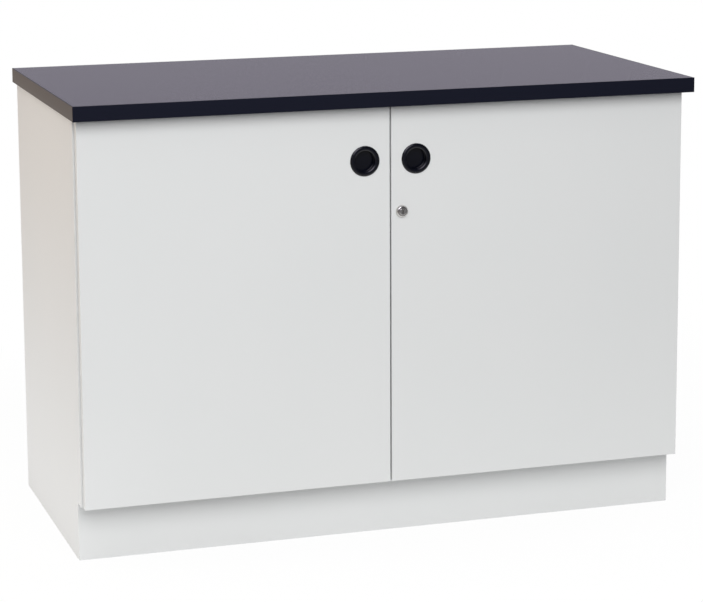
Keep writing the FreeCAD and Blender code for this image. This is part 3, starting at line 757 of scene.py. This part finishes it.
def studio_floor():
    bm = bmesh.new()
    bmesh.ops.create_grid(bm, x_segments=1, y_segments=1, size=FLOOR_REACH)
    floor = from_bmesh(bm, "floor", smooth=False)
    finish = start_material("white_backdrop_paper", PAPER, roughness=0.9, specular=0.1)
    material, tree, shader, place = finish
    spot = add(tree, "SeparateXYZ", {"Vector": place}).outputs
    path = add(tree, "LightPath").outputs

    aside = add(tree, "Math", {0: spot["X"]}, operation="ABSOLUTE")
    about = add(tree, "Math", {0: spot["Y"]}, operation="ABSOLUTE")
    ahead = add(tree, "Math", {0: spot["Y"], 1: -1.0}, operation="MULTIPLY")
    paper_x = add(tree, "MapRange", {"Value": aside, **soft_end(PAPER_SIDE)})
    paper_y = add(tree, "MapRange", {"Value": ahead, **soft_end(PAPER_FRONT)})
    paper = add(tree, "Math", {0: paper_x, 1: paper_y}, operation="MULTIPLY")
    near_x = add(tree, "MapRange", {"Value": aside, **soft_end(SHADOW_REACH)})
    near_y = add(tree, "MapRange", {"Value": about, **soft_end(SHADOW_REACH)})
    near = add(tree, "Math", {0: near_x, 1: near_y}, operation="MULTIPLY")

    room = {FACTOR: paper, MIX_A: linear(ROOM_FLOOR), MIX_B: linear(PAPER_IN_ROOM)}
    grey = add(tree, "Mix", room, data_type="RGBA").outputs[MIX_OUT]
    seen_white = {FACTOR: path["Is Camera Ray"], MIX_A: grey, MIX_B: linear(PAPER)}
    tint = add(tree, "Mix", seen_white, data_type="RGBA").outputs[MIX_OUT]
    tree.links.new(tint, shader.inputs["Base Color"])

    straight = {0: path["Is Camera Ray"], 1: path["Is Transmission Ray"]}
    clear = add(tree, "Math", straight, operation="MAXIMUM")
    shadow = add(tree, "Math", {0: near, 1: SHADOW_SHARE}, operation="MULTIPLY")
    kept = add(tree, "Math", {0: 1.0, 1: shadow}, operation="SUBTRACT")
    seen = add(tree, "Math", {0: clear, 1: kept}, operation="MULTIPLY")

    behind = add(tree, "MapRange", {"Value": spot["Y"], **between(BEHIND)})
    leftward = add(tree, "MapRange", {"Value": spot["X"], **between(FAR_LEFT)})
    wall = add(tree, "Math", {0: leftward, 1: -LEFT_DIM, 2: 1.0}, operation="MULTIPLY_ADD")
    beyond = add(tree, "Math", {0: behind, 1: wall}, operation="MULTIPLY")
    far = between(GLOSS_SPAN, GLOSS_LEFT, GLOSS_RIGHT)
    dim = add(tree, "MapRange", {"Value": spot["X"], **far})
    whiter = add(tree, "Math", {0: paper, 1: beyond}, operation="MAXIMUM")
    shown = add(tree, "Math", {0: whiter, 1: dim}, operation="MAXIMUM")
    mirrored = add(tree, "Math", {0: path["Is Glossy Ray"], 1: shown}, operation="MULTIPLY")

    side = between(LEFT_SIDE, 0.0, LEFT_SHARE)
    left = add(tree, "MapRange", {"Value": spot["X"], **side})
    bounce = add(tree, "Math", {0: left, 1: LAMP_SHARE}, operation="ADD")
    lamp = add(tree, "Math", {0: bounce, 1: path["Is Diffuse Ray"]}, operation="MULTIPLY")
    spread = add(tree, "Math", {0: lamp, 1: paper}, operation="MULTIPLY")
    lit = add(tree, "Math", {0: mirrored, 1: spread}, operation="MAXIMUM")
    share = add(tree, "Math", {0: seen, 1: lit}, operation="MAXIMUM")

    warm = add(tree, "Math", {0: leftward, 1: path["Is Glossy Ray"]}, operation="MULTIPLY")
    shade = add(tree, "Mix", {FACTOR: warm, MIX_A: WHITE, MIX_B: WARM_FLOOR}, data_type="RGBA")
    glow = add(tree, "Emission", {"Color": shade.outputs[MIX_OUT], "Strength": 1.0})
    mix = add(tree, "MixShader", {0: share, 1: shader.outputs["BSDF"], 2: glow})
    tree.links.new(mix.outputs["Shader"], tree.nodes["Material Output"].inputs["Surface"])
    floor.data.materials.append(material)


studio_floor()
print("floor:", 2 * FLOOR_REACH, "m wide")

# %% [markdown]
# ## The room
# A studio is bright behind the object and dim behind the camera. The world gives that
# as a soft gradient, and rays that leave a glossy surface see it with more contrast,
# with one bright window high at the front left, which puts a small highlight on the lock
# and on the rings of the pulls. Overhead and at the far left the mirrored room is dim, so
# that the worktop stays dark from above. The lamps themselves are left out of
# reflections: a soft box this size would turn the whole dark worktop white for someone
# who stands behind it. The light is slightly warm from the left and cool from the right.

# %% Room light
ROOM_FRONT = 0.30
ROOM_BACK = 1.0
GLOSS_FRONT = 0.15
GLOSS_BACK = 0.82
FRONT_TO_BACK = (-0.5, 0.2)
CEILING = 0.3
CEILING_EDGE = (0.10, 0.28)
DARK_LEFT = 0.3
LEFT_EDGE = (-0.95, -0.55)
WINDOW = 4.2
WINDOW_AT = Vector((-0.34, -0.70, 0.63)).normalized()
WINDOW_EDGE = (0.89, 0.97)
RIGHT_TO_LEFT = (0.1, -0.9)
WARM = (1.0, 0.93, 0.86, 1.0)
COOL = (0.98, 1.0, 1.0, 1.0)
VIOLET = (1.0, 0.95, 1.08, 1.0)

world = bpy.data.worlds.new("studio")
bpy.context.scene.world = world
world.use_nodes = True
sky = world.node_tree
heading = add(sky, "TexCoord").outputs["Generated"]
direction = add(sky, "SeparateXYZ", {"Vector": heading}).outputs
path = add(sky, "LightPath").outputs
straight = {0: path["Is Camera Ray"], 1: path["Is Transmission Ray"]}
clear = add(sky, "Math", straight, operation="MAXIMUM")


def across(axis, span, low=0.0, high=1.0):
    """What turns one part of a ray's direction into low to high."""
    return {"Value": direction[axis], **between(span, low, high)}


room = add(sky, "MapRange", across("Y", FRONT_TO_BACK, ROOM_FRONT, ROOM_BACK))
gloss = add(sky, "MapRange", across("Y", FRONT_TO_BACK, GLOSS_FRONT, GLOSS_BACK))
ceiling = add(sky, "MapRange", across("Z", CEILING_EDGE, 1.0, CEILING))
left = add(sky, "MapRange", across("X", LEFT_EDGE, DARK_LEFT, 1.0))
shaded = add(sky, "Math", {0: gloss, 1: ceiling}, operation="MULTIPLY")
dimmed = add(sky, "Math", {0: shaded, 1: left}, operation="MULTIPLY")
aimed = add(sky, "VectorMath", {0: heading, 1: WINDOW_AT}, operation="DOT_PRODUCT")
pane = {"Value": aimed.outputs["Value"], **between(WINDOW_EDGE, 0.0, WINDOW)}
window = add(sky, "MapRange", pane)
mirrored = add(sky, "Math", {0: dimmed, 1: window}, operation="ADD")
either = {FACTOR: path["Is Glossy Ray"], NUMBER_A: room, NUMBER_B: mirrored}
lit = add(sky, "Mix", either, data_type="FLOAT")
level = add(sky, "Mix", {FACTOR: clear, NUMBER_A: lit, NUMBER_B: 1.0}, data_type="FLOAT")

leftness = add(sky, "MapRange", across("X", RIGHT_TO_LEFT))
warmth = add(sky, "Mix", {FACTOR: leftness, MIX_A: COOL, MIX_B: WARM}, data_type="RGBA")
either = {FACTOR: path["Is Glossy Ray"], MIX_A: warmth.outputs[MIX_OUT], MIX_B: VIOLET}
tinge = add(sky, "Mix", either, data_type="RGBA")
either = {FACTOR: clear, MIX_A: tinge.outputs[MIX_OUT], MIX_B: WHITE}
colour = add(sky, "Mix", either, data_type="RGBA")
background = sky.nodes["Background"].inputs
sky.links.new(level.outputs[0], background["Strength"])
sky.links.new(colour.outputs[MIX_OUT], background["Color"])
print("room light:", ROOM_FRONT, "in front and", ROOM_BACK, "behind")

# %% Lamps
BOX_PLACE = Vector((-0.50, -2.90, 2.22))
BOX_WIDTH = 3.6
BOX_HEIGHT = 2.0
BOX_POWER = 82.0
BOX_AIM = Vector((0, -0.3, 1.0))
BULB_PLACE = Vector((-1.45, -0.05, 1.1))
BULB_SIZE = 0.5
BULB_POWER = 1.6
BULB_AIM = Vector((-0.6, 0.0, 0.7))
BULB_COLOUR = (1.0, 0.84, 0.68)


def area_lamp(name, place, width, height, power, aim):
    """A rectangular lamp that faces a point."""
    lamp = bpy.data.lights.new(name, "AREA")
    lamp.shape = "RECTANGLE"
    lamp.size = width
    lamp.size_y = height
    lamp.energy = power
    light = bpy.data.objects.new(name, lamp)
    bpy.context.scene.collection.objects.link(light)
    light.visible_glossy = False
    light.location = place
    light.rotation_euler = (place - aim).to_track_quat("Z", "Y").to_euler()
    return lamp


area_lamp("front_soft_box", BOX_PLACE, BOX_WIDTH, BOX_HEIGHT, BOX_POWER, BOX_AIM)
bulb = area_lamp("warm_side_lamp", BULB_PLACE, BULB_SIZE, BULB_SIZE, BULB_POWER, BULB_AIM)
bulb.color = BULB_COLOUR
print("soft box", BOX_WIDTH, "by", BOX_HEIGHT, "m, and a small warm lamp at the left")

# %% [markdown]
# ## The camera
# The camera stands at the front left, a little above the worktop, with a long lens.
# Upright lines stay nearly upright because the lens is shifted down instead of the
# camera being tilted, as with an architect's lens.

# %% Camera
CAMERA_PLACE = Vector((-1444.7, -4561.0, 1446.3)) * MM
CAMERA_AZIMUTH = math.radians(-17.685)
CAMERA_ELEVATION = math.radians(9.975)
CAMERA_ROLL = math.radians(-0.305)
IMAGE_WIDTH = 703
FOCAL_PIXELS = 2478.6
SHIFT_PIXELS = -101
SENSOR_WIDTH = 36.0
FARTHEST = 100.0

camera = bpy.data.cameras.new("camera")
camera.sensor_width = SENSOR_WIDTH
camera.lens = FOCAL_PIXELS / IMAGE_WIDTH * camera.sensor_width
camera.shift_y = SHIFT_PIXELS / IMAGE_WIDTH
camera.clip_end = FARTHEST
aside, ahead = math.sin(CAMERA_AZIMUTH), -math.cos(CAMERA_AZIMUTH)
level = math.cos(CAMERA_ELEVATION)
back = Vector((aside * level, ahead * level, math.sin(CAMERA_ELEVATION)))
right = (-back).cross(Z).normalized()
up = right.cross(-back)
turn = Matrix((right, up, back)).transposed() @ Matrix.Rotation(CAMERA_ROLL, 3, "Z")
eye = bpy.data.objects.new("camera", camera)
bpy.context.scene.collection.objects.link(eye)
eye.matrix_world = Matrix.Translation(CAMERA_PLACE) @ turn.to_4x4()
bpy.context.scene.camera = eye
bpy.context.scene.view_settings.view_transform = "Standard"
print("lens:", round(camera.lens, 1), "mm")
